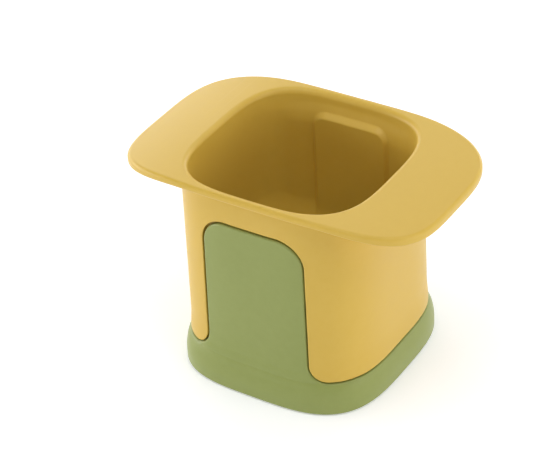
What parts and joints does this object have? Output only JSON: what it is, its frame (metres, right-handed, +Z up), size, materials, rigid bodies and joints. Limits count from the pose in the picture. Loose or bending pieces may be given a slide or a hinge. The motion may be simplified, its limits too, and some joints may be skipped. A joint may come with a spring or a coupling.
{
  "type": "vegetable dicer",
  "caption": "Press-down vegetable dicer: a bowl housing with side wings and a crossed blade grid slides over a base with square posts and two guide tongues.",
  "frame": {"origin": "on the table under the middle of the dicer", "axes": "+X from wing to wing, -Y towards the front guide tongue, +Z up"},
  "size_m": [0.153, 0.103, 0.105],
  "materials": {
    "yellow_plastic": "satin moulded",
    "frame_plastic": "satin moulded",
    "green_plastic": "satin moulded",
    "blade_steel": "ground stainless strip",
    "screw_steel": "plain stainless",
    "foot_rubber": "matte silicone"
  },
  "bodies": {
    "base": {"base": "green_plastic", "pusher_block": "green_plastic", "pusher_screw_1": "screw_steel", "pusher_screw_2": "screw_steel", "pusher_screw_3": "screw_steel", "pusher_screw_4": "screw_steel", "foot_pad_1": "foot_rubber", "foot_pad_2": "foot_rubber", "foot_pad_3": "foot_rubber", "foot_pad_4": "foot_rubber"},
    "housing": {"press_housing": "yellow_plastic", "blade_frame": "frame_plastic", "blade_clamp_ring": "frame_plastic", "blade_x_1": "blade_steel", "blade_x_2": "blade_steel", "blade_x_3": "blade_steel", "blade_x_4": "blade_steel", "blade_x_5": "blade_steel", "blade_x_6": "blade_steel", "blade_y_1": "blade_steel", "blade_y_2": "blade_steel", "blade_y_3": "blade_steel", "blade_y_4": "blade_steel", "blade_y_5": "blade_steel", "blade_y_6": "blade_steel", "frame_screw_1": "screw_steel", "frame_screw_2": "screw_steel", "frame_screw_3": "screw_steel", "frame_screw_4": "screw_steel"}
  },
  "joints": [
    {"name": "housing_lift", "type": "slide", "parent": "base", "child": "housing", "axis": [0, 0, 1], "range_m": [0, 0.1]}
  ]
}
